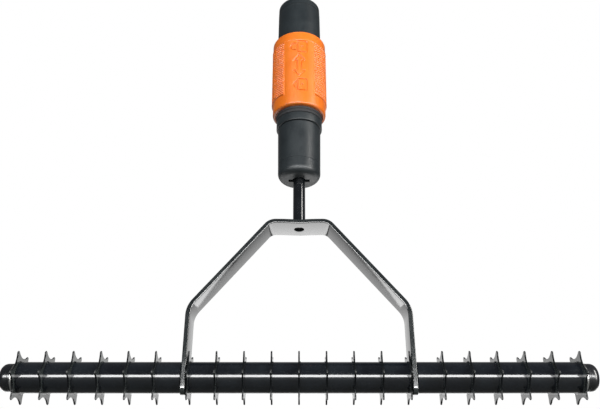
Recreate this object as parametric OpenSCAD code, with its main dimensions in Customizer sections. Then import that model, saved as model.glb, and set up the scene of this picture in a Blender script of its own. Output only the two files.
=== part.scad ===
// Roller aerator head: toothed discs on three tube sections, carried by a bent
// strap yoke, with a quick-release socket for a long handle.
// Origin: centre of the socket mouth. +Z points out of the socket along the
// handle, and X runs along the roller.

/* [Roller] */
// Diameter over the disc tips
disc_d = 40; // [36:1:48]
// Thickness of one disc
disc_t = 1.2; // [1:0.1:2]
// Distance between neighbouring discs
disc_pitch = 20; // [16:1:24]
// Number of discs on the centre section
centre_discs = 9; // [7, 9, 11]
// Number of discs on each outer section
side_discs = 6; // [3:1:8]
// Teeth on one disc
teeth = 6; // [6, 7, 8]
// Smallest radius of the gaps between the teeth
notch_floor_r = 14.3; // [13.6:0.1:15]
// Turn of the teeth away from straight down
tooth_phase = 32; // [0:1:60]
// Outside diameter of the roller tube
tube_d = 23; // [20:0.5:24]
// Wall of the roller tube
tube_wall = 1.8; // [1.5:0.1:2.5]

/* [Axle] */
// Diameter of the axle
axle_d = 8; // [7:0.5:9]
// Radial clearance between axle and bushes
bush_gap = 0.05; // [0.02:0.01:0.1]
// Length of one bush
bush_len = 12; // [8:1:18]
// Diameter of an end cap
cap_d = 20.5; // [16:0.5:22]
// Length of an end cap
cap_len = 9; // [8:0.5:14]
// Thickness of an end washer
washer_t = 1.2; // [1:0.1:2]

/* [Yoke] */
// Width of the strap
strap_w = 24; // [20:1:28]
// Thickness of the strap
strap_t = 3.5; // [3:0.1:4.5]
// Height of the yoke's flat top above the axle
yoke_h = 124; // [116:1:132]
// Half the length of the flat top, to its bend corners
top_half = 23.8; // [20:0.2:28]
// Slope of the arms below level
arm_slope = 50; // [47:1:53]
// Outside radius of the upper bends
bend_top_r = 11; // [8:1:14]
// Outside radius of the lower bends
bend_low_r = 20; // [10:1:24]
// Length of the feet below the axle
foot_drop = 14; // [11:0.5:15]
// Corner radius of the feet
foot_corner_r = 5; // [2:0.5:6]

/* [Rod and socket] */
// Height of the socket mouth above the axle
mouth_h = 350; // [345:1:370]
// Diameter of the rod
rod_d = 10; // [9:0.5:12]
// Height of the lower body's end face above the axle
body_base_h = 165; // [160:1:168]
// Diameter of the lower body at its base
body_base_d = 35.6; // [34:0.2:37]
// Diameter of the lower body at its top
body_top_d = 36.6; // [35:0.2:38]
// Diameter of the sleeve that the collar slides on
sleeve_d = 38.8; // [38:0.2:39]
// Diameter of the sleeve at the mouth
mouth_d = 37.8; // [36:0.2:38]
// Bore for the handle
handle_bore_d = 29; // [26:0.5:30]
// Depth of the handle bore
handle_bore_len = 88; // [80:1:90]
// Bore for the handle's locking nose
nose_bore_d = 24; // [20:0.5:25]

/* [Lock] */
// Diameter of the collar over its knurled middle
collar_d = 48.4; // [47:0.2:50]
// Diameter of the collar's lower band
band_low_d = 45.8; // [45:0.2:46.6]
// Diameter of the collar's upper band
band_top_d = 47.4; // [46:0.2:47.6]
// Radial clearance between collar and sleeve
collar_gap = 0.08; // [0.05:0.01:0.1]
// Travel of the collar from locked to open
collar_travel = 8; // [6:1:8]
// Travel of a lock pin
pin_travel = 1.5; // [1:0.1:1.5]
// Diameter of a lock pin
pin_d = 4; // [3:0.5:4]

/* [Hidden] */
$fn = 96;
eps = 0.01;
fit = 0.02;
axle_z = -mouth_h;
axle_r = axle_d / 2;
tube_r = tube_d / 2;
tube_in_r = tube_r - tube_wall;

// Roller stations along X
centre_half = (centre_discs - 1) / 2 * disc_pitch;
side_gap = 0.4;
centre_end = centre_half + disc_t / 2 + 0.25;
strap_in = centre_end + side_gap;
strap_out = strap_in + strap_t;
side_start = strap_out + side_gap;
side_first = centre_half + 24;
side_last = side_first + (side_discs - 1) * disc_pitch;
side_end = side_last + 2.2;
washer_at = side_end + 0.2;
cap_at = washer_at + washer_t + 0.2;
axle_half = cap_at + cap_len * 0.55;
bush_lip = 0.2;

// Discs: round notches leave pointed teeth
tip_half_angle = 2.5;
notch_half_angle = 180 / teeth - tip_half_angle;
disc_r = disc_d / 2;
notch_c = (disc_r * disc_r - notch_floor_r * notch_floor_r)
    / (2 * (disc_r * cos(notch_half_angle) - notch_floor_r));
notch_r = notch_c - notch_floor_r;
bead_size = 0.9;
bead_angle = 26;
bead_start = 194;
beads_per_disc = 2;

// Yoke
leg_turn = 90 - arm_slope;
arm_dx = strap_out - top_half;
corner_h = yoke_h - arm_dx * tan(arm_slope);
top_run = top_half - bend_top_r * tan(arm_slope / 2);
low_bend_h = corner_h - bend_low_r * tan(leg_turn / 2);
rod_tip_r = rod_d / 2 - 1;
rod_tip_recess = 1.3;

// Socket stations above the axle
body_top_h = 214;
ring_top_h = 222;
collar_base_h = 227.5;
collar_top_h = 305.5;
knurl_base_h = 244;
knurl_top_h = 298.5;
nose_base_h = 228;
pin_h = 250;
rod_top_h = 192;
anchor_base_h = 186;
pocket_top_h = 196;
spigot_base_h = 201;
spigot_r = 14;
neck_r = 15;
sleeve_r = sleeve_d / 2;
ring_r = sleeve_r + 0.25;
anchor_r = 9;
pin_r = pin_d / 2;
pin_out_r = sqrt(pow(sleeve_r - 0.1, 2) - pow(pin_r, 2));
pin_in_r = nose_bore_d / 2 - pin_travel + 0.1;
collar_bore_r = sleeve_r + collar_gap;
cam_r = sleeve_r + pin_travel + 0.2;
slot_w = 17.6;
slot_h = 4.4;
slot_deep = 4;

DISC_SIDES = ["left", "centre", "right"];
function disc_count(side) = side == "centre" ? centre_discs : side_discs;
function disc_x(side, i) =
    side == "centre" ? -centre_half + i * disc_pitch :
    side == "right" ? side_first + i * disc_pitch : -side_first - i * disc_pitch;
function disc_name(side, i) = str("disc_", side, "_", i + 1);
function section_lo(side) =
    side == "centre" ? -centre_end : side == "right" ? side_start : -side_end;
function section_hi(side) =
    side == "centre" ? centre_end : side == "right" ? side_end : -side_start;

// Heights below are measured up from the axle
module above_axle(h = 0) translate([0, 0, axle_z + h]) children();

// A shape drawn round Z, laid along X on the axle, from x onwards
module along_roller(x) above_axle() translate([x, 0, 0]) rotate([0, 90, 0]) children();

module ring(r_in, r_out, len) difference() {
    cylinder(r = r_out, h = len);
    translate([0, 0, -eps]) cylinder(r = r_in, h = len + 2 * eps);
}

// The strap's side outline, offset inwards by depth: half of it, from the middle to a foot
function strap_line(depth) = concat(
    [[0, yoke_h - depth]],
    arc_points(top_run, yoke_h - bend_top_r, bend_top_r - depth, 90, 90 - arm_slope, 20),
    arc_points(strap_out - bend_low_r, low_bend_h, bend_low_r - depth, leg_turn, 0, 20),
    [[strap_out - depth, -foot_drop]]
);
function flipped(points) = [for (k = [len(points) - 1 : -1 : 0]) [-points[k][0], points[k][1]]];
function backwards(points) = [for (k = [len(points) - 1 : -1 : 0]) points[k]];
function without_first(points) = [for (k = [1 : len(points) - 1]) points[k]];
function whole_line(depth) = concat(flipped(strap_line(depth)), without_first(strap_line(depth)));

// Cuts a foot's square corners round
module foot_corners() for (side = [-1, 1])
    translate([0, side * (strap_w / 2 - foot_corner_r), foot_corner_r - foot_drop])
        mirror([0, side < 0 ? 1 : 0, 0]) rotate([0, 90, 0]) difference() {
            cube([foot_corner_r + 1, foot_corner_r + 1, 2 * strap_out + 2]);
            translate([0, 0, -1]) cylinder(r = foot_corner_r, h = 2 * strap_out + 4);
        }

module yoke() color("#15171a") difference() {
    above_axle() rotate([90, 0, 0]) linear_extrude(strap_w, center = true)
        polygon(concat(whole_line(0), backwards(whole_line(strap_t))));
    above_axle() translate([-strap_out - 1, 0, 0]) foot_corners();
    along_roller(-strap_out - 1) cylinder(r = axle_r + fit, h = 2 * strap_out + 2);
    above_axle(yoke_h - strap_t - 1) cylinder(r = rod_tip_r + fit, h = strap_t + 2);
}

module axle() color("silver") along_roller(-axle_half) cylinder(r = axle_r, h = 2 * axle_half);

module rod() color("#101114") {
    above_axle(yoke_h) cylinder(r = rod_d / 2, h = rod_top_h - yoke_h);
    above_axle(yoke_h - strap_t + rod_tip_recess)
        cylinder(r = rod_tip_r, h = strap_t - rod_tip_recess + eps);
}

// Weld fillet with a hollow face, between rod and yoke
module rod_weld() color("#101114") above_axle(yoke_h) rotate_extrude() difference() {
    weld = 2.6;
    translate([rod_d / 2 + fit, 0]) square(weld);
    translate([rod_d / 2 + fit + weld, weld]) circle(r = weld - 0.35);
}

module anchor_plate() color("silver") above_axle(anchor_base_h)
    ring(rod_d / 2 + fit, anchor_r - fit, rod_top_h - anchor_base_h);

// Lower body: slightly tapered, with a rounded lower edge and a slot across its end
module socket_body() color("#2c3237") difference() {
    edge_r = 6;
    base_r = body_base_d / 2;
    above_axle(body_base_h) rotate_extrude() {
        square([base_r - edge_r, body_top_h - body_base_h]);
        translate([base_r - edge_r, edge_r]) intersection() {
            circle(r = edge_r);
            translate([0, -edge_r]) square([edge_r, edge_r]);
        }
        polygon([
            [0, edge_r], [base_r, edge_r],
            [body_top_d / 2, body_top_h - body_base_h], [0, body_top_h - body_base_h]
        ]);
    }
    above_axle(body_base_h - 1) cylinder(r = rod_d / 2 + fit, h = pocket_top_h - body_base_h);
    above_axle(anchor_base_h - fit) cylinder(r = anchor_r, h = pocket_top_h - anchor_base_h);
    above_axle(spigot_base_h) cylinder(r = spigot_r + fit, h = body_top_h - spigot_base_h + 1);
    above_axle(body_base_h - 1 + slot_deep / 2)
        cube([slot_w, slot_h, slot_deep + 2], center = true);
}

module stop_ring() color("#22262a") above_axle(body_top_h + fit) difference() {
    chamfer = 0.8;
    ring_h = ring_top_h - body_top_h - 2 * fit;
    rotate_extrude() polygon([
        [neck_r + fit, 0], [ring_r - chamfer, 0], [ring_r, chamfer],
        [ring_r, ring_h - chamfer], [ring_r - chamfer, ring_h], [neck_r + fit, ring_h]
    ]);
}

module wiper_ring() color("#17191b") above_axle(ring_top_h)
    ring(neck_r + fit, ring_r + 0.6, collar_base_h - ring_top_h - 0.3);

// Sleeve with the handle bore, the nose bore below it and windows for the lock pins
module socket_sleeve() color("#2c3237") difference() {
    edge = 2.4;
    mouth_r = mouth_d / 2;
    line_h = mouth_h - 7;
    line_deep = 0.45;
    taper_h = collar_top_h + collar_travel + 1;
    above_axle() rotate_extrude() {
        polygon([
            [0, spigot_base_h + fit], [spigot_r, spigot_base_h + fit], [spigot_r, body_top_h],
            [neck_r, body_top_h], [neck_r, collar_base_h - 0.3 + fit],
            [sleeve_r, collar_base_h - 0.3 + fit], [sleeve_r, taper_h],
            [mouth_r + 0.15, line_h - 0.5], [mouth_r + 0.1 - line_deep, line_h],
            [mouth_r + 0.1, line_h + 0.5], [mouth_r, mouth_h - edge],
            [mouth_r - edge, mouth_h - edge], [0, mouth_h - edge]
        ]);
        translate([0, mouth_h - edge - eps]) square([mouth_r - edge, edge + eps]);
        translate([mouth_r - edge, mouth_h - edge]) intersection() {
            circle(r = edge);
            square(edge);
        }
    }
    above_axle(mouth_h - handle_bore_len) cylinder(d = handle_bore_d, h = handle_bore_len + 1);
    above_axle(nose_base_h + 2) cylinder(d = nose_bore_d, h = mouth_h - nose_base_h - 1);
    above_axle(pin_h) translate([-sleeve_r - 1, 0, 0]) rotate([0, 90, 0])
        cylinder(r = pin_r + bush_gap, h = 2 * sleeve_r + 2);
}

// One half of a rounded band edge, drawn as points from angle a0 to a1
function arc_points(x, y, r, a0, a1, steps = 8) =
    [for (k = [0 : steps]) let (a = a0 + (a1 - a0) * k / steps) [x + r * cos(a), y + r * sin(a)]];

module lock_collar() color("#f6891e") above_axle() rotate_extrude() {
    edge_low = 2.2;
    edge_top = 3.2;
    low_r = band_low_d / 2;
    top_r = band_top_d / 2;
    knurl_r = collar_d / 2;
    ramp = 1.2;
    cam_top_h = pin_h + pin_r + 0.4;
    cam_full_h = pin_h + pin_r - collar_travel + 0.2;
    cam_base_h = pin_h - pin_r - collar_travel - 0.6;
    polygon(concat(
        [[collar_bore_r, collar_base_h]],
        arc_points(low_r - edge_low, collar_base_h + edge_low, edge_low, -90, 0),
        [[low_r, knurl_base_h - ramp], [knurl_r, knurl_base_h],
         [knurl_r, knurl_top_h], [top_r, knurl_top_h + 0.6]],
        arc_points(top_r - edge_top, collar_top_h - edge_top, edge_top, 0, 90),
        [[collar_bore_r, collar_top_h], [collar_bore_r, cam_top_h], [cam_r, cam_full_h],
         [cam_r, cam_base_h], [collar_bore_r, cam_base_h - 0.6]]
    ));
}

module lock_pin(side) color("silver") above_axle(pin_h)
    translate([side < 0 ? -pin_out_r : pin_in_r, 0, 0]) rotate([0, 90, 0])
        cylinder(r = pin_r, h = pin_out_r - pin_in_r);

module end_washer(side) color("silver")
    along_roller(side < 0 ? -washer_at - washer_t : washer_at)
        ring(axle_r + fit, tube_r - 1, washer_t);

// Domed push-on cap, closed over the end of the axle
module end_cap(side) color("#1b1d20") difference() {
    edge = 6;
    cap_r = cap_d / 2;
    along_roller(side * cap_at) mirror([0, 0, side < 0 ? 1 : 0]) rotate_extrude() {
        square([cap_r, cap_len - edge]);
        square([cap_r - edge, cap_len]);
        translate([cap_r - edge, cap_len - edge]) intersection() {
            circle(r = edge);
            square(edge);
        }
    }
    along_roller(-axle_half - fit) cylinder(r = axle_r + fit, h = 2 * axle_half + 2 * fit);
}

module roller_tube(side) color("#15171a") along_roller(section_lo(side))
    ring(tube_in_r, tube_r, section_hi(side) - section_lo(side));

module bush(side, end) color("#3a3d42")
    along_roller(end == "a" ? section_lo(side) - bush_lip : section_hi(side) + bush_lip - bush_len)
        ring(axle_r + bush_gap, tube_in_r - fit, bush_len);

module disc(x) color("#2a2c30") along_roller(x - disc_t / 2) linear_extrude(disc_t) difference() {
    circle(r = disc_r);
    circle(r = tube_r + fit);
    for (k = [0 : teeth - 1])
        rotate(tooth_phase + (k + 0.5) * 360 / teeth) translate([notch_c, 0]) circle(r = notch_r);
}

// Short weld beads in the corner between each disc and its tube, on the inner face
module weld_beads(side) color("#1b1d20") for (i = [0 : disc_count(side) - 1]) {
    x = disc_x(side, i);
    face = x > 0 ? -1 : 1;
    for (k = [0 : beads_per_disc - 1])
        along_roller(x + face * (disc_t / 2 + fit)) mirror([0, 0, face < 0 ? 1 : 0])
            rotate(k * 360 / beads_per_disc + bead_start) rotate_extrude(angle = bead_angle)
                polygon([
                    [tube_r + fit, 0], [tube_r + fit + bead_size, 0],
                    [tube_r + fit + bead_size * 0.45, bead_size * 0.55], [tube_r + fit, bead_size]
                ]);
}

yoke();
axle();
rod();
rod_weld();
anchor_plate();
socket_body();
stop_ring();
wiper_ring();
socket_sleeve();
lock_collar();
lock_pin(-1);  // lock_pin_left
lock_pin(1);  // lock_pin_right
end_washer(-1);  // washer_left
end_washer(1);  // washer_right
end_cap(-1);  // cap_left
end_cap(1);  // cap_right
for (s = DISC_SIDES) {
    roller_tube(s);
    weld_beads(s);
    for (e = ["a", "b"])
        bush(s, e);
    for (i = [0 : disc_count(s) - 1])
        disc(disc_x(s, i));
}
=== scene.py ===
import math

import bmesh
import bpy
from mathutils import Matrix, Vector


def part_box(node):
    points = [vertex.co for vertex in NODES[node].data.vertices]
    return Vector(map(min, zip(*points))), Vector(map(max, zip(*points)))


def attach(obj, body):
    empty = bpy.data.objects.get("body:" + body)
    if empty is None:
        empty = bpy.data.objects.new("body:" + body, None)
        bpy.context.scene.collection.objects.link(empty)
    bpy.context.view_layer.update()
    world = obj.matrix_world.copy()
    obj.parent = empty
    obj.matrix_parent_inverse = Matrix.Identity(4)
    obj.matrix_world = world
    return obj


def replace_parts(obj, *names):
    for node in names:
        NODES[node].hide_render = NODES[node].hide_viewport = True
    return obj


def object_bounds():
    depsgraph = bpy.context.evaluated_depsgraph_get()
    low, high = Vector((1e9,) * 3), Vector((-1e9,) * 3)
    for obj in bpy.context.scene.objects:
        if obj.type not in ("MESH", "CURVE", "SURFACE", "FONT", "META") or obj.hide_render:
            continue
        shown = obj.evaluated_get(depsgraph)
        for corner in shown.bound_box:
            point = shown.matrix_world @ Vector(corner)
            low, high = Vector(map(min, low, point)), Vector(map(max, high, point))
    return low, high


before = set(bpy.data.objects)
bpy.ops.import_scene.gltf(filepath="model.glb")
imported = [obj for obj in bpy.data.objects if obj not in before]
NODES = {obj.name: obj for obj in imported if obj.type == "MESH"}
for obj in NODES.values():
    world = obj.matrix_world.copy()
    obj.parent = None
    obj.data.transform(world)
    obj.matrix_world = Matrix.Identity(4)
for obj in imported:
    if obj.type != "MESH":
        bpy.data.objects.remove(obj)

CAD_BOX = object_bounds()
MM = 0.001

# ---------------------------------------------------------------- places, from the frame
AXLE_LO, AXLE_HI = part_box("axle")
AXLE_Z = (AXLE_LO.z + AXLE_HI.z) / 2
YOKE_LO, YOKE_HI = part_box("yoke")
COLLAR_LO, COLLAR_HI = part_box("lock_collar")
BODY_LO, BODY_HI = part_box("socket_body")
RING_LO, RING_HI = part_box("stop_ring")
WIPER_LO, WIPER_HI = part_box("wiper_ring")
SLEEVE_LO, SLEEVE_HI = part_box("socket_sleeve")
ROD_LO, ROD_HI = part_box("rod")
SIDES = ("left", "centre", "right")

# ---------------------------------------------------------------- sizes that the CAD gives no box for
STRAP_T = 3.5 * MM
TOP_HALF = 23.8 * MM
ARM_SLOPE = math.radians(50)
BEND_TOP_R = 11 * MM
BEND_LOW_R = 20 * MM
FOOT_CORNER_R = 5 * MM
TEETH = 6
TOOTH_PHASE = math.radians(32)
TIP_HALF_ANGLE = math.radians(2.5)
NOTCH_FLOOR_R = 14.3 * MM
HANDLE_BORE_R = 14.5 * MM
COLLAR_TRAVEL = 8 * MM
PIN_TRAVEL = 1.5 * MM
SEGMENTS = 128


# ---------------------------------------------------------------- node helpers
def new_material(name):
    mat = bpy.data.materials.new(name)
    mat.use_nodes = True
    tree = mat.node_tree
    shader = tree.nodes["Principled BSDF"]
    return mat, tree, shader


def add(tree, kind, **values):
    node = tree.nodes.new(kind)
    for key, value in values.items():
        setattr(node, key, value)
    return node


def noise(tree, coord, scale, detail=4.0, rough=0.55, distortion=0.0):
    node = add(tree, "ShaderNodeTexNoise")
    node.inputs["Scale"].default_value = scale
    node.inputs["Detail"].default_value = detail
    node.inputs["Roughness"].default_value = rough
    node.inputs["Distortion"].default_value = distortion
    tree.links.new(coord, node.inputs["Vector"])
    return node.outputs["Fac"]


def ramp(tree, fac, stops):
    node = add(tree, "ShaderNodeValToRGB")
    elements = node.color_ramp.elements
    while len(elements) < len(stops):
        elements.new(0.5)
    for element, (place, color) in zip(elements, stops):
        element.position = place
        element.color = (*color, 1.0)
    tree.links.new(fac, node.inputs["Fac"])
    return node.outputs["Color"]


def spread(tree, fac, low, high, lo_in=0.3, hi_in=0.7):
    """A number that follows fac, from low to high."""
    node = add(tree, "ShaderNodeMapRange")
    node.inputs["From Min"].default_value = lo_in
    node.inputs["From Max"].default_value = hi_in
    node.inputs["To Min"].default_value = low
    node.inputs["To Max"].default_value = high
    tree.links.new(fac, node.inputs["Value"])
    return node.outputs["Result"]


def math_node(tree, operation, a, b=0.0):
    node = add(tree, "ShaderNodeMath", operation=operation)
    for socket, value in zip(node.inputs, (a, b)):
        if isinstance(value, (int, float)):
            socket.default_value = value
        else:
            tree.links.new(value, socket)
    return node.outputs[0]


def mix_color(tree, fac, a, b):
    node = add(tree, "ShaderNodeMix", data_type="RGBA")
    tree.links.new(fac, node.inputs["Factor"])
    for socket, value in ((node.inputs[6], a), (node.inputs[7], b)):
        if isinstance(value, tuple):
            socket.default_value = (*value, 1.0)
        else:
            tree.links.new(value, socket)
    return node.outputs[2]


def bump(tree, shader, height, strength, distance):
    node = add(tree, "ShaderNodeBump")
    node.inputs["Strength"].default_value = strength
    node.inputs["Distance"].default_value = distance
    tree.links.new(height, node.inputs["Height"])
    tree.links.new(node.outputs["Normal"], shader.inputs["Normal"])


def object_coords(tree):
    return add(tree, "ShaderNodeTexCoord").outputs["Object"]


# ---------------------------------------------------------------- materials
def enamel(name, dark, light, roughness, ior=1.5, peel=0.04, dust=0.0):
    """Baked gloss paint: orange peel, faint clouding and a little settled dust."""
    mat, tree, shader = new_material(name)
    coord = object_coords(tree)
    clouds = noise(tree, coord, 60, 5)
    color = ramp(tree, clouds, [(0.35, dark), (0.7, light)])
    if dust:
        specks = noise(tree, coord, 900, 3, 0.7)
        amount = spread(tree, specks, 0.0, dust, 0.58, 0.75)
        color = mix_color(tree, amount, color, (0.42, 0.43, 0.42))
    tree.links.new(color, shader.inputs["Base Color"])
    tree.links.new(spread(tree, clouds, roughness * 0.75, roughness * 1.35), shader.inputs["Roughness"])
    shader.inputs["IOR"].default_value = ior
    shader.inputs["Coat Weight"].default_value = 0.5
    shader.inputs["Coat Roughness"].default_value = 0.08
    bump(tree, shader, noise(tree, coord, 420, 2, 0.4), peel, 0.0006)
    return mat


def disc_paint(name):
    """Gloss paint on stamped sheet, with painted shade making the rims near black, and faintly rubbed at the tips."""
    mat, tree, shader = new_material(name)
    coord = object_coords(tree)
    split = add(tree, "ShaderNodeSeparateXYZ")
    tree.links.new(coord, split.inputs[0])
    height = math_node(tree, "SUBTRACT", split.outputs["Z"], AXLE_Z)
    square = math_node(tree, "ADD", math_node(tree, "MULTIPLY", split.outputs["Y"], split.outputs["Y"]),
                       math_node(tree, "MULTIPLY", height, height))
    radius = math_node(tree, "SQRT", square)
    scuffs = noise(tree, coord, 380, 6, 0.65, 1.5)
    worn_at = math_node(tree, "ADD", radius, math_node(tree, "MULTIPLY", scuffs, 0.004))
    worn = spread(tree, worn_at, 0.0, 0.18, 0.0205, 0.0225)
    clouds = noise(tree, coord, 110, 5)
    paint = ramp(tree, clouds, [(0.35, (0.030, 0.036, 0.036)), (0.7, (0.055, 0.064, 0.063))])
    # Painted shade: the rims, whose normals turn away from the axle, get a near-black colour, darker than the faces.
    sideways = add(tree, "ShaderNodeSeparateXYZ")
    tree.links.new(add(tree, "ShaderNodeTexCoord").outputs["Normal"], sideways.inputs[0])
    flat = spread(tree, math_node(tree, "ABSOLUTE", sideways.outputs["X"]), 0.0, 1.0, 0.72, 0.85)
    paint = mix_color(tree, flat, (0.006, 0.007, 0.008), paint)
    tree.links.new(mix_color(tree, worn, paint, (0.36, 0.37, 0.37)), shader.inputs["Base Color"])
    tree.links.new(worn, shader.inputs["Metallic"])
    tree.links.new(spread(tree, scuffs, 0.12, 0.34), shader.inputs["Roughness"])
    shader.inputs["IOR"].default_value = 1.75
    tree.links.new(math_node(tree, "MULTIPLY", flat, 0.7), shader.inputs["Coat Weight"])
    tree.links.new(spread(tree, flat, 0.08, 0.5, 0.0, 1.0), shader.inputs["Specular IOR Level"])
    shader.inputs["Coat Roughness"].default_value = 0.1
    bump(tree, shader, scuffs, 0.05, 0.0005)
    return mat


def moulded(name, dark, light, roughness, grain=0.25, grain_scale=2600, coat=0.0, sheen=0.0):
    """Moulded plastic: spark-eroded grain, flow clouding and lighter specks that are painted highlight, standing in
    for glints off the grain.
    """
    mat, tree, shader = new_material(name)
    coord = object_coords(tree)
    flow = noise(tree, coord, 45, 5, 0.6, 0.6)
    # Painted highlight: lighter specks mixed into the colour stand in for glints off the grain.
    glint_speckle = noise(tree, coord, grain_scale * 0.35, 3, 0.7)
    base = ramp(tree, flow, [(0.3, dark), (0.72, light)])
    lifted = tuple(min(1.0, c * 1.7 + 0.01) for c in light)
    tree.links.new(mix_color(tree, spread(tree, glint_speckle, 0.0, 0.35, 0.5, 0.72), base, lifted),
                   shader.inputs["Base Color"])
    tree.links.new(spread(tree, flow, roughness * 0.85, roughness * 1.2), shader.inputs["Roughness"])
    shader.inputs["IOR"].default_value = 1.5
    shader.inputs["Coat Weight"].default_value = coat
    shader.inputs["Coat Roughness"].default_value = 0.35
    shader.inputs["Sheen Weight"].default_value = sheen
    bump(tree, shader, noise(tree, coord, grain_scale, 2, 0.5), grain, 0.00025)
    return mat


def steel(name, color, roughness, streak_axis):
    """Turned or brushed steel, with fine rings round streak_axis."""
    mat, tree, shader = new_material(name)
    coord = object_coords(tree)
    mapping = add(tree, "ShaderNodeMapping")
    mapping.inputs["Scale"].default_value = [60.0 if axis == streak_axis else 1.0 for axis in "xyz"]
    tree.links.new(coord, mapping.inputs["Vector"])
    rings = noise(tree, mapping.outputs["Vector"], 55, 6, 0.7)
    stains = noise(tree, coord, 130, 4)
    shade = tuple(c * 0.72 for c in color)
    tree.links.new(ramp(tree, stains, [(0.35, shade), (0.65, color)]), shader.inputs["Base Color"])
    tree.links.new(spread(tree, rings, roughness * 0.7, roughness * 1.4), shader.inputs["Roughness"])
    shader.inputs["Metallic"].default_value = 1.0
    bump(tree, shader, rings, 0.12, 0.0004)
    return mat


def floor_paint(name):
    mat, tree, shader = new_material(name)
    coord = object_coords(tree)
    mottled = noise(tree, coord, 3, 4)
    tree.links.new(ramp(tree, mottled, [(0.3, (0.10, 0.105, 0.10)), (0.7, (0.14, 0.145, 0.14))]),
                   shader.inputs["Base Color"])
    shader.inputs["Roughness"].default_value = 0.9
    return mat


MATERIALS = {
    "black_enamel": enamel("black_enamel", (0.004, 0.005, 0.007), (0.010, 0.012, 0.015), 0.14, peel=0.006, dust=0.01),
    "strap_enamel": enamel("strap_enamel", (0.010, 0.013, 0.014), (0.020, 0.025, 0.026), 0.13, 1.85, 0.004, 0.0),
    "tube_enamel": enamel("tube_enamel", (0.004, 0.005, 0.008), (0.009, 0.012, 0.016), 0.12, 1.5, 0.03, 0.04),
    "cap_enamel": enamel("cap_enamel", (0.006, 0.007, 0.009), (0.014, 0.015, 0.018), 0.24, 1.5, 0.015, 0.02),
    "disc_enamel": disc_paint("disc_enamel"),
    "bare_steel": steel("bare_steel", (0.62, 0.62, 0.61), 0.28, "x"),
    "black_plastic": moulded("black_plastic", (0.010, 0.014, 0.017), (0.016, 0.022, 0.025), 0.42, 0.2),
    "bush_plastic": moulded("bush_plastic", (0.04, 0.04, 0.042), (0.06, 0.06, 0.063), 0.4, 0.15),
    "black_rubber": moulded("black_rubber", (0.010, 0.010, 0.012), (0.018, 0.018, 0.020), 0.7, 0.4, 1500),
    "orange_plastic": moulded("orange_plastic", (0.80, 0.150, 0.003), (0.86, 0.190, 0.006), 0.38, 0.12, 2600, 0.25),
}


# ---------------------------------------------------------------- mesh helpers
def to_object(name, bm, material, body, sharp_deg=32):
    bmesh.ops.recalc_face_normals(bm, faces=bm.faces)
    mesh = bpy.data.meshes.new(name)
    bm.to_mesh(mesh)
    bm.free()
    mesh.shade_smooth()
    mesh.set_sharp_from_angle(angle=math.radians(sharp_deg))
    mesh.materials.append(MATERIALS[material])
    obj = bpy.data.objects.new(name, mesh)
    bpy.context.scene.collection.objects.link(obj)
    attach(obj, body)
    return obj


def arc(cx, cy, r, a0, a1, steps=6):
    """Points on an arc, angles in degrees."""
    points = []
    for k in range(steps + 1):
        a = math.radians(a0 + (a1 - a0) * k / steps)
        points.append((cx + r * math.cos(a), cy + r * math.sin(a)))
    return points


def rounded(points, steps=4):
    """A closed outline of (x, y, corner radius), with its corners rounded."""
    out = []
    count = len(points)
    for i, (x, y, r) in enumerate(points):
        here = Vector((x, y))
        before = Vector(points[i - 1][:2]) - here
        after = Vector(points[(i + 1) % count][:2]) - here
        if r <= 0:
            out.append((x, y))
            continue
        half = before.angle(after) / 2
        reach = min(r / math.tan(half), before.length * 0.49, after.length * 0.49)
        start = here + before.normalized() * reach
        end = here + after.normalized() * reach
        for k in range(steps + 1):
            t = k / steps
            point = start * (1 - t) ** 2 + here * 2 * t * (1 - t) + end * t ** 2
            out.append((point.x, point.y))
    return out


def lathe(name, outline, material, body, along="z", centre_z=0.0, segments=SEGMENTS, sharp_deg=32):
    """Turns a closed outline of (radius, height) into a solid, round Z or round the axle."""
    bm = bmesh.new()
    rings = []
    for radius, height in outline:
        ring = []
        for k in range(segments if radius > 1e-7 else 1):
            a = 2 * math.pi * k / segments
            u, v = radius * math.cos(a), radius * math.sin(a)
            ring.append(bm.verts.new((u, v, height) if along == "z" else (height, u, v + centre_z)))
        rings.append(ring)
    for ring, after in zip(rings, rings[1:] + rings[:1]):
        join_rings(bm, ring, after)
    return to_object(name, bm, material, body, sharp_deg)


def join_rings(bm, a, b):
    if len(a) == 1 and len(b) == 1:
        return
    count = max(len(a), len(b))
    for k in range(count):
        n = (k + 1) % count
        corners = [a[k % len(a)], a[n % len(a)], b[n % len(b)], b[k % len(b)]]
        unique = []
        for v in corners:
            if v not in unique:
                unique.append(v)
        bm.faces.new(unique)


def cut_with(obj, cutter):
    """Subtracts cutter from obj for good, then removes it."""
    modifier = obj.modifiers.new("cut", "BOOLEAN")
    modifier.operation = "DIFFERENCE"
    modifier.solver = "EXACT"
    modifier.object = cutter
    depsgraph = bpy.context.evaluated_depsgraph_get()
    mesh = bpy.data.meshes.new_from_object(obj.evaluated_get(depsgraph))
    obj.modifiers.clear()
    obj.data = mesh
    mesh.shade_smooth()
    mesh.set_sharp_from_angle(angle=math.radians(32))
    bpy.data.objects.remove(cutter)


def cutter_cylinder(radius, low, high):
    bm = bmesh.new()
    bmesh.ops.create_cone(bm, cap_ends=True, segments=64, radius1=radius, radius2=radius, depth=high - low)
    bmesh.ops.translate(bm, verts=bm.verts, vec=(0, 0, (low + high) / 2))
    return cutter_object(bm)


def cutter_box(size, centre):
    bm = bmesh.new()
    bmesh.ops.create_cube(bm, size=1)
    bmesh.ops.scale(bm, verts=bm.verts, vec=size)
    bmesh.ops.translate(bm, verts=bm.verts, vec=centre)
    return cutter_object(bm)


def cutter_object(bm):
    mesh = bpy.data.meshes.new("cutter")
    bm.to_mesh(mesh)
    bm.free()
    obj = bpy.data.objects.new("cutter", mesh)
    bpy.context.scene.collection.objects.link(obj)
    return obj


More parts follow.
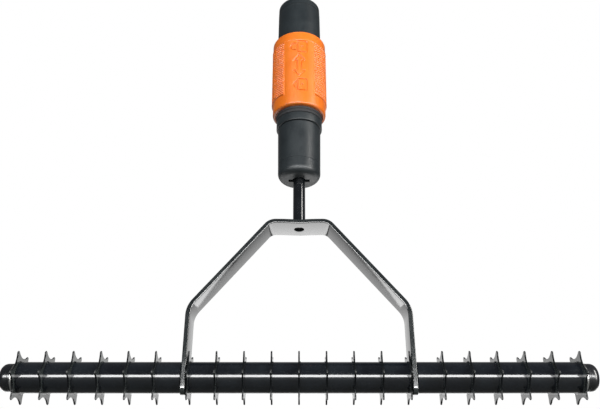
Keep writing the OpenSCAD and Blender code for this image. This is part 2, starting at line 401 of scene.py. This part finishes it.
# ---------------------------------------------------------------- yoke
def bend_stations(x, z, heading, turn, radius, steps=14):
    """Points and headings round a downward bend of the strap's outer face."""
    cx = x - radius * math.sin(heading)
    cz = z - radius * math.cos(heading)
    out = []
    for k in range(steps + 1):
        a = heading + turn * k / steps
        out.append((cx + radius * math.sin(a), cz + radius * math.cos(a), a))
    return out


def strap_half():
    """(x, z, heading, half width, inset) along the outer face, from the middle to a foot."""
    half_w = YOKE_HI.y
    leg_turn = math.pi / 2 - ARM_SLOPE
    top_run = TOP_HALF - BEND_TOP_R * math.tan(ARM_SLOPE / 2)
    arm = (YOKE_HI.x - TOP_HALF) / math.cos(ARM_SLOPE)
    arm -= BEND_TOP_R * math.tan(ARM_SLOPE / 2) + BEND_LOW_R * math.tan(leg_turn / 2)
    flat = [(top_run * k / 14, YOKE_HI.z, 0.0) for k in range(14)]
    first = bend_stations(top_run, YOKE_HI.z, 0.0, ARM_SLOPE, BEND_TOP_R)
    x, z, _ = first[-1]
    x, z = x + arm * math.cos(ARM_SLOPE), z - arm * math.sin(ARM_SLOPE)
    second = bend_stations(x, z, ARM_SLOPE, leg_turn, BEND_LOW_R)
    stations = [(px, pz, a, half_w, 0.0) for px, pz, a in flat + first + second]
    foot = YOKE_LO.z + FOOT_CORNER_R
    for k in range(11):
        a = math.pi / 2 * k / 10
        drop = FOOT_CORNER_R * math.sin(a)
        width = half_w - FOOT_CORNER_R * (1 - math.cos(a))
        stations.append((YOKE_HI.x, foot - drop, math.pi / 2, width, 0.0 if k < 10 else 0.35 * MM))
    return stations


def strap_section(half_w, inset):
    """The strap's cross-section: (y, depth under the outer face), edges rounded."""
    edge = 0.75 * MM
    lo, hi, w = inset, STRAP_T - inset, half_w - inset
    return rounded([(-w, lo, edge), (w, lo, edge), (w, hi, edge), (-w, hi, edge)], 4)


def build_yoke():
    right = strap_half()
    left = [(-x, z, -a, w, i) for x, z, a, w, i in right[:0:-1]]
    bm = bmesh.new()
    rings = []
    for x, z, a, half_w, inset in left + right:
        dip = 0.55 * MM * math.exp(-(x / (9 * MM)) ** 2)
        ring = []
        for y, depth in strap_section(half_w, inset):
            depth += dip if abs(a) < 1e-6 else 0.0
            ring.append(bm.verts.new((x - depth * math.sin(a), y, z - depth * math.cos(a))))
        rings.append(ring)
    for ring, after in zip(rings, rings[1:]):
        join_rings(bm, ring, after)
    bm.faces.new(rings[0])
    bm.faces.new(rings[-1])
    yoke = to_object("yoke_strap", bm, "strap_enamel", "frame", 40)
    under = YOKE_HI.z - STRAP_T
    cut_with(yoke, cutter_cylinder(4.1 * MM, under - 3 * MM, under + 2.4 * MM))
    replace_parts(yoke, "yoke")


# ---------------------------------------------------------------- rod and socket
def build_rod():
    r = ROD_HI.x
    tip = 3.9 * MM
    shoulder = YOKE_HI.z
    outline = rounded([
        (0, ROD_LO.z, 0), (tip, ROD_LO.z, 0.9 * MM), (tip, shoulder, 0), (r, shoulder, 0),
        (r, ROD_HI.z, 0.5 * MM), (0, ROD_HI.z, 0)])
    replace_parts(lathe("rod_bar", outline, "black_enamel", "frame"), "rod")


def build_rod_weld():
    """A weld bead with the scallops that a torch leaves."""
    r = ROD_HI.x
    size = 2.3 * MM
    bm = bmesh.new()
    rings = []
    segments = 160
    for j in range(9):
        t = j / 8
        ring = []
        for k in range(segments):
            a = 2 * math.pi * k / segments
            ripple = 1 + 0.10 * abs(math.sin(a * 11)) + 0.05 * math.sin(a * 3 + 1)
            reach = size * ripple * (1 - t) ** 1.35
            rise = size * ripple * t ** 1.35
            ring.append(bm.verts.new(((r - 0.1 * MM + reach) * math.cos(a), (r - 0.1 * MM + reach) * math.sin(a),
                                      YOKE_HI.z - 0.35 * MM + rise)))
        rings.append(ring)
    inner = []
    for k in range(segments):
        a = 2 * math.pi * k / segments
        inner.append(bm.verts.new(((r - 0.2 * MM) * math.cos(a), (r - 0.2 * MM) * math.sin(a),
                                   YOKE_HI.z - 0.35 * MM)))
    for ring, after in zip(rings, rings[1:] + [inner]):
        join_rings(bm, ring, after)
    join_rings(bm, inner, rings[0])
    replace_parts(to_object("rod_weld_bead", bm, "black_enamel", "frame", 60), "rod_weld")


def build_socket_body():
    base_r, top_r = 17.8 * MM, BODY_HI.x
    low, high = BODY_LO.z, BODY_HI.z
    rod_r = ROD_HI.x + 0.25 * MM
    edge = 6 * MM
    line = low + 13 * MM
    outline = [(rod_r, low + 8 * MM), (rod_r, low + 0.5 * MM), (rod_r + 0.5 * MM, low)]
    outline += [(base_r - edge, low)]
    outline += arc(base_r - edge, low + edge, edge, -78, 0, 10)
    outline += rounded([
        (base_r + 0.02 * MM, line, 0), (base_r - 0.15 * MM, line + 0.25 * MM, 0),
        (base_r + 0.05 * MM, line + 0.5 * MM, 0)])
    outline += [(top_r, high - 0.6 * MM), (top_r - 0.5 * MM, high), (rod_r + 8 * MM, high),
                (rod_r + 8 * MM, low + 8 * MM)]
    body = lathe("socket_lower_body", outline, "black_plastic", "frame", sharp_deg=25)
    slot_w, slot_h, slot_deep = 17.6 * MM, 4.4 * MM, 4 * MM
    cut_with(body, cutter_box((slot_w, slot_h, 2 * slot_deep), (0, 0, low)))
    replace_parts(body, "socket_body")


def build_rings():
    r_in = 15.1 * MM
    ring = rounded([(r_in, RING_LO.z, 0), (RING_HI.x, RING_LO.z, 1.1 * MM),
                    (RING_HI.x, RING_HI.z, 1.1 * MM), (r_in, RING_HI.z, 0)], 6)
    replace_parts(lathe("collar_stop_ring", ring, "black_plastic", "frame"), "stop_ring")
    r, low, high = WIPER_HI.x, WIPER_LO.z, WIPER_HI.z
    groove = 0.7 * MM
    mid = (low + high) / 2
    lip = rounded([
        (r_in, low, 0), (r - 0.5 * MM, low, 0.5 * MM), (r - 0.2 * MM, mid - groove, 0.3 * MM),
        (r - 0.9 * MM, mid, 0.3 * MM), (r - 0.1 * MM, mid + groove, 0.3 * MM),
        (r, high, 0.5 * MM), (r_in, high, 0)], 4)
    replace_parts(lathe("collar_wiper_ring", lip, "black_rubber", "frame"), "wiper_ring")


def build_sleeve():
    """Open tube with a rounded mouth, a shadow line under it and a blind nose bore."""
    r = SLEEVE_HI.x
    mouth = 18.9 * MM
    top, low = SLEEVE_HI.z, WIPER_HI.z + 0.1 * MM
    line = top - 7 * MM
    straight = COLLAR_HI.z + 9 * MM
    nose_r, nose_top, nose_low = 12 * MM, top - 88 * MM, low + 2 * MM
    edge = 1.2 * MM
    outline = [(0, low), (r - 0.4 * MM, low), (r, low + 0.4 * MM), (r, straight)]
    outline += [(mouth + 0.20 * MM, line - 0.55 * MM), (mouth - 0.25 * MM, line - 0.25 * MM),
                (mouth - 0.25 * MM, line + 0.1 * MM), (mouth + 0.12 * MM, line + 0.4 * MM)]
    outline += arc(mouth - edge, top - edge, edge, 0, 90, 10)
    outline += [(HANDLE_BORE_R + 0.3 * MM, top), (HANDLE_BORE_R, top - 0.3 * MM),
                (HANDLE_BORE_R, nose_top), (nose_r, nose_top), (nose_r, nose_low), (0, nose_low)]
    sleeve = lathe("socket_upper_sleeve", outline, "black_plastic", "frame", sharp_deg=25)
    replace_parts(sleeve, "socket_sleeve")


# ---------------------------------------------------------------- lock collar
def ring_distance(u, v, radius):
    return abs(math.hypot(u, v) - radius)


def segment_distance(u, v, a, b):
    ab = (b[0] - a[0], b[1] - a[1])
    length = ab[0] ** 2 + ab[1] ** 2
    t = max(0.0, min(1.0, ((u - a[0]) * ab[0] + (v - a[1]) * ab[1]) / length))
    return math.hypot(u - a[0] - t * ab[0], v - a[1] - t * ab[1])


def path_distance(u, v, points):
    return min(segment_distance(u, v, a, b) for a, b in zip(points, points[1:]))


def padlock_distance(u, v, lift):
    """A padlock lying on its side: rounded body at +u, shackle towards -u, lifted when open."""
    qu, qv = abs(u - 2.0) - 2.4, abs(v) - 3.6
    outside = math.hypot(max(qu, 0), max(qv, 0)) + min(max(qu, qv), 0)
    body = abs(outside - 0.8)
    shackle_u = -1.4 - lift
    if u < shackle_u:
        shackle = ring_distance(u - shackle_u, v, 2.6)
    else:
        far = path_distance(u, v, [(shackle_u, 2.6), (-1.2, 2.6)])
        near_end = -1.2 if lift == 0 else shackle_u + 0.6
        shackle = min(far, path_distance(u, v, [(shackle_u, -2.6), (near_end + 0.01, -2.6)]))
    keyhole = max(0.0, math.hypot(u - 2.0, v) - 0.3)
    return min(body, shackle, keyhole)


def arrow_distance(u, v):
    """A double-ended arrow in outline, along v."""
    v = abs(v)
    outline = [(1.3, 0.0), (1.3, 3.6), (3.6, 3.6), (0.0, 8.0), (-3.6, 3.6), (-1.3, 3.6), (-1.3, 0.0)]
    return path_distance(u, v, outline)


def sign_depth(u, v, mid):
    """Depth of the pressed-in signs at u across and v along the collar, in millimetres."""
    if abs(u) > 11:
        return 0.0
    big, tall = 1.35, 1.45
    if v > mid + 13:
        gap = big * padlock_distance(u / big, (v - mid - 20.5) / big, 1.9)
    elif v < mid - 13:
        gap = big * padlock_distance(u / big, (v - mid + 20.5) / big, 0.0)
    else:
        gap = tall * arrow_distance(u / tall, (v - mid) / tall)
    width, soft = 0.45, 0.30
    return 0.8 * max(0.0, min(1.0, (width + soft - gap) / soft))


def triangle_wave(t):
    return 1 - abs(2 * (t - math.floor(t)) - 1)


def knurl_share(a):
    """0 on the smooth front and back panels, 1 on the knurled sides."""
    from_panel = min(abs(wrap(a + math.pi / 2)), abs(wrap(a - math.pi / 2)))
    return max(0.0, min(1.0, (math.degrees(from_panel) - 33) / 2))


def knurl_depth(a, v):
    """Depth of the diamond knurl, and where it fades to the smooth front and back panels."""
    starts, pitch = 64, 2.35
    turn = a / (2 * math.pi) * starts
    grooves = min(triangle_wave(turn + v / pitch), triangle_wave(turn - v / pitch))
    fade = knurl_share(a)
    return 0.8 * fade * (1 - min(1.0, grooves * 1.6))


def wrap(a):
    return (a + math.pi) % (2 * math.pi) - math.pi


def build_collar():
    bore = 19.48 * MM
    low_r, knurl_r, top_r = 23.1 * MM, COLLAR_HI.x, 23.7 * MM
    low, high = COLLAR_LO.z, COLLAR_HI.z
    knurl_low, knurl_high = low + 12 * MM, high - 10 * MM
    rows = 210
    around = 512
    mid = (knurl_low + knurl_high) / 2 / MM
    outline = [(bore, low), (bore + 1.4 * MM, low + 1.2 * MM)]
    outline += arc(low_r - 2.2 * MM, low + 2.2 * MM, 2.2 * MM, -90, 0, 8)
    outline += [(low_r + 0.02 * MM, low + 9 * MM), (low_r + 0.02 * MM, knurl_low - 0.8 * MM)]
    first = len(outline)
    for j in range(rows + 1):
        outline.append((knurl_r, knurl_low + (knurl_high - knurl_low) * j / rows))
    last = len(outline)
    outline += [(top_r + 0.2 * MM, knurl_high + 0.35 * MM), (top_r, knurl_high + 0.8 * MM)]
    outline += arc(top_r - 2 * MM, high - 2 * MM, 2 * MM, 0, 90, 10)
    outline += [(bore + 0.4 * MM, high), (bore, high - 0.4 * MM)]
    pin_lo, pin_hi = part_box("lock_pin_right")
    cam = SLEEVE_HI.x + PIN_TRAVEL + 0.2 * MM
    cam_base = pin_lo.z - COLLAR_TRAVEL - 0.6 * MM
    outline += [(bore, pin_hi.z + 0.4 * MM), (cam, pin_hi.z - COLLAR_TRAVEL + 0.2 * MM),
                (cam, cam_base), (bore, cam_base - 0.6 * MM)]
    bm = bmesh.new()
    rings = []
    for index, (radius, height) in enumerate(outline):
        ring = []
        border = min(index - first, last - 1 - index) / 3
        for k in range(around):
            a = 2 * math.pi * k / around
            r = radius
            if first <= index < last:
                share = (height - knurl_low) / (knurl_high - knurl_low)
                flush = low_r + (top_r - low_r) * share
                v = height / MM
                depth = knurl_depth(a, v) * max(0.0, min(1.0, border))
                for facing in (-math.pi / 2, math.pi / 2):
                    off = wrap(a - facing)
                    if abs(off) < math.radians(30):
                        depth = max(depth, sign_depth(off * knurl_r / MM, v, mid))
                r = flush + (radius - flush) * knurl_share(a) - depth * MM
            ring.append(bm.verts.new((r * math.cos(a), r * math.sin(a), height)))
        rings.append(ring)
    for ring, after in zip(rings, rings[1:] + rings[:1]):
        join_rings(bm, ring, after)
    collar = to_object("collar_shell", bm, "orange_plastic", "collar", 50)
    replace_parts(collar, "lock_collar")


# ---------------------------------------------------------------- rollers
def disc_radius(angle, disc_r, centre, notch_r):
    """Outer radius of a toothed disc at an angle: round notches between pointed teeth."""
    step = 2 * math.pi / TEETH
    off = (angle - TOOTH_PHASE) % step - step / 2
    reach = notch_r ** 2 - (centre * math.sin(off)) ** 2
    if reach <= 0:
        return disc_r
    return min(disc_r, centre * math.cos(off) - math.sqrt(reach))


def disc_mesh(disc_r, bore_r, half_t):
    """One stamped disc round X: chamfered outer edge, seated on the tube."""
    notch_half = math.pi / TEETH - TIP_HALF_ANGLE
    centre = (disc_r ** 2 - NOTCH_FLOOR_R ** 2) / (2 * (disc_r * math.cos(notch_half) - NOTCH_FLOOR_R))
    notch_r = centre - NOTCH_FLOOR_R
    count = TEETH * 36
    chamfer = 0.32 * MM
    layers = [(-half_t, 0.0, True), (-half_t, chamfer, False), (-half_t + chamfer, 0.0, False),
              (half_t - chamfer, 0.0, False), (half_t, chamfer, False), (half_t, 0.0, True)]
    bm = bmesh.new()
    rings = []
    for x, inset, inner in layers:
        ring = []
        for k in range(count):
            a = 2 * math.pi * k / count + TOOTH_PHASE
            r = bore_r if inner else disc_radius(a, disc_r, centre, notch_r) - inset
            ring.append(bm.verts.new((x, r * math.sin(a), -r * math.cos(a))))
        rings.append(ring)
    for ring, after in zip(rings, rings[1:] + rings[:1]):
        join_rings(bm, ring, after)
    bmesh.ops.recalc_face_normals(bm, faces=bm.faces)
    mesh = bpy.data.meshes.new("disc_mesh")
    bm.to_mesh(mesh)
    bm.free()
    return mesh


def build_discs():
    tube_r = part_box("tube_centre")[1].y
    for node in sorted(n for n in NODES if n.startswith("disc_")):
        low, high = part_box(node)
        mesh = disc_mesh(high.y, tube_r - 0.05 * MM, (high.x - low.x) / 2)
        for vertex in mesh.vertices:
            vertex.co += Vector(((low.x + high.x) / 2, 0, AXLE_Z))
        mesh.shade_smooth()
        mesh.set_sharp_from_angle(angle=math.radians(30))
        mesh.materials.append(MATERIALS["disc_enamel"])
        disc = bpy.data.objects.new("cutting_" + node, mesh)
        bpy.context.scene.collection.objects.link(disc)
        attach(disc, "roller_" + node.split("_")[1])
        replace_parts(disc, node)


def build_tubes():
    for side in SIDES:
        low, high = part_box("tube_" + side)
        r, wall, edge = high.y, 1.8 * MM, 0.5 * MM
        outline = rounded([(r - wall, low.x, edge / 2), (r, low.x, edge), (r, high.x, edge),
                           (r - wall, high.x, edge / 2)], 4)
        tube = lathe("roller_tube_" + side, outline, "tube_enamel", "roller_" + side,
                     "x", AXLE_Z)
        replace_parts(tube, "tube_" + side)


def bead_blob(bm, centre_x, face, angle, tube_r, seed):
    """A lumpy bead, lying in the corner between a disc's face and the tube."""
    half_angle = math.radians(8 + 1.5 * math.sin(seed * 1.7))
    length_steps, round_steps = 10, 8
    rings = []
    for i in range(length_steps + 1):
        t = i / length_steps
        a = angle + half_angle * (2 * t - 1)
        size = 0.8 * MM * math.sqrt(max(0.0, 1 - (2 * t - 1) ** 2)) * (1 + 0.12 * math.sin(9 * t + seed))
        ring = []
        for k in range(round_steps):
            b = 2 * math.pi * k / round_steps
            r = tube_r - 0.1 * MM + max(0.02 * MM, size * (0.45 + 0.5 * math.sin(b)))
            x = centre_x + face * max(0.0, size * (0.5 + 0.5 * math.cos(b)))
            ring.append(bm.verts.new((x, r * math.sin(a), AXLE_Z - r * math.cos(a))))
        rings.append(ring)
    for ring, after in zip(rings, rings[1:]):
        join_rings(bm, ring, after)
    bm.faces.new(rings[0])
    bm.faces.new(rings[-1])


def build_weld_beads():
    tube_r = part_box("tube_centre")[1].y
    for side in SIDES:
        bm = bmesh.new()
        for node in sorted(n for n in NODES if n.startswith("disc_" + side)):
            low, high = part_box(node)
            face = -1 if low.x > 0 else 1
            x = low.x if face < 0 else high.x
            for k in range(2):
                bead_blob(bm, x, face, math.radians(207 + 180 * k), tube_r, x * 900 + k)
        beads = to_object("beads_" + side, bm, "black_enamel", "roller_" + side, 60)
        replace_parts(beads, "weld_beads_" + side)


def build_caps():
    """Domed push-on caps with a rolled rim and a shallow ring round the dome."""
    for side, sign in (("left", -1), ("right", 1)):
        low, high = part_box("cap_" + side)
        base, tip = (low.x, high.x) if sign > 0 else (high.x, low.x)
        r = high.y
        bore = 4.02 * MM
        edge = 5 * MM
        length = abs(tip - base)
        rim = arc(r - 0.5 * MM, 0.5 * MM, 0.5 * MM, -90, 0, 4)
        neck = [(r, 1.6 * MM), (r - 0.25 * MM, 2.0 * MM), (r - 0.05 * MM, 2.5 * MM)]
        dome = arc(r - 0.05 * MM - edge, length - edge, edge, 0, 78, 14)
        outline = [(bore, 0.0)] + rim + neck + dome
        outline += [(2.6 * MM, length - 0.05 * MM), (1.6 * MM, length), (0, length),
                    (0, length - 3.5 * MM), (bore, length - 3.5 * MM)]
        placed = [(radius, base + sign * h) for radius, h in outline]
        cap = lathe("end_cap_" + side, placed, "cap_enamel", "frame", "x", AXLE_Z, sharp_deg=28)
        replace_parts(cap, "cap_" + side)


def finish_kept_nodes():
    """CAD pieces whose shape is already right get their material."""
    looks = {"axle": "bare_steel", "anchor_plate": "bare_steel", "lock_pin_left": "bare_steel",
             "lock_pin_right": "bare_steel", "washer_left": "bare_steel", "washer_right": "bare_steel"}
    for side in SIDES:
        looks["bush_" + side + "_a"] = looks["bush_" + side + "_b"] = "bush_plastic"
    for node, material in looks.items():
        mesh = NODES[node].data
        mesh.materials.clear()
        mesh.materials.append(MATERIALS[material])


# ---------------------------------------------------------------- studio
def build_floor():
    """A dark floor well under the head, which is held up by its handle socket."""
    size, drop = 4.0, 0.24
    bm = bmesh.new()
    bmesh.ops.create_grid(bm, x_segments=2, y_segments=2, size=size)
    mesh = bpy.data.meshes.new("floor")
    bm.to_mesh(mesh)
    bm.free()
    mesh.materials.append(floor_paint("floor_paint"))
    floor = bpy.data.objects.new("floor", mesh)
    floor.location = (0, 0, CAD_BOX[0][2] - drop)
    bpy.context.scene.collection.objects.link(floor)


def build_world():
    """White all round to the camera; reflections see a pale patch behind and a dim room elsewhere."""
    world = bpy.data.worlds.new("studio")
    bpy.context.scene.world = world
    world.use_nodes = True
    tree = world.node_tree
    background = tree.nodes["Background"]
    split = add(tree, "ShaderNodeSeparateXYZ")
    tree.links.new(add(tree, "ShaderNodeTexCoord").outputs["Generated"], split.inputs[0])
    room = spread(tree, split.outputs["Y"], 0.10, 0.75, 0.62, 0.92)
    path = add(tree, "ShaderNodeLightPath")
    seen = math_node(tree, "MAXIMUM", room, path.outputs["Is Camera Ray"])
    background.inputs["Color"].default_value = (1.0, 1.0, 1.0, 1.0)
    tree.links.new(seen, background.inputs["Strength"])


def area_light(name, place, target, size_x, size_y, watts, color=(1, 1, 1), shine_only=False,
               soft_only=False):
    data = bpy.data.lights.new(name, "AREA")
    data.shape = "RECTANGLE"
    data.size, data.size_y = size_x, size_y
    data.energy = watts
    data.color = color
    light = bpy.data.objects.new(name, data)
    light.location = place
    light.rotation_euler = (Vector(target) - Vector(place)).to_track_quat("-Z", "Y").to_euler()
    light.visible_camera = False
    light.visible_diffuse = not shine_only
    light.visible_glossy = not soft_only
    bpy.context.scene.collection.objects.link(light)
    return light


def build_lights():
    middle = (0, 0, -0.2)
    area_light("side_key", (0.95, -0.62, -0.15), middle, 0.22, 1.3, 15, (1.0, 0.98, 0.95))
    area_light("front_fill", (-0.35, -1.3, 0.35), middle, 1.2, 0.8, 22, (0.95, 0.98, 1.0), soft_only=True)
    area_light("roller_strip", (0.0, -1.15, AXLE_Z), (0, 0, AXLE_Z), 2.2, 0.3, 32, shine_only=True)
    area_light("rear_panel", (0.0, 0.38, -0.45), (0, 0, -0.25), 1.2, 0.28, 2.4, shine_only=True)
    area_light("top_soft", (0.1, 0.1, 1.0), middle, 1.2, 1.2, 8, soft_only=True)


def build_camera():
    """Stands off the roller's axle and looks up along the handle's lean."""
    lean = math.radians(27.5)
    distance, rise = 0.5314, 0.1266
    look = Vector((0, math.cos(lean), math.sin(lean)))
    up = Vector((0, -math.sin(lean), math.cos(lean)))
    data = bpy.data.cameras.new("camera")
    data.sensor_width = 36.0
    data.lens = 43.7
    camera = bpy.data.objects.new("camera", data)
    camera.location = Vector((0.0007, 0, AXLE_Z)) - look * distance + up * rise
    camera.rotation_euler = (math.pi / 2 + lean, 0, 0)
    bpy.context.scene.collection.objects.link(camera)
    bpy.context.scene.camera = camera


build_camera()
build_world()
build_lights()
build_floor()
build_yoke()
build_rod()
build_rod_weld()
build_socket_body()
build_rings()
build_sleeve()
build_collar()
build_discs()
build_tubes()
build_weld_beads()
build_caps()
finish_kept_nodes()
bpy.context.scene.view_settings.view_transform = "Standard"
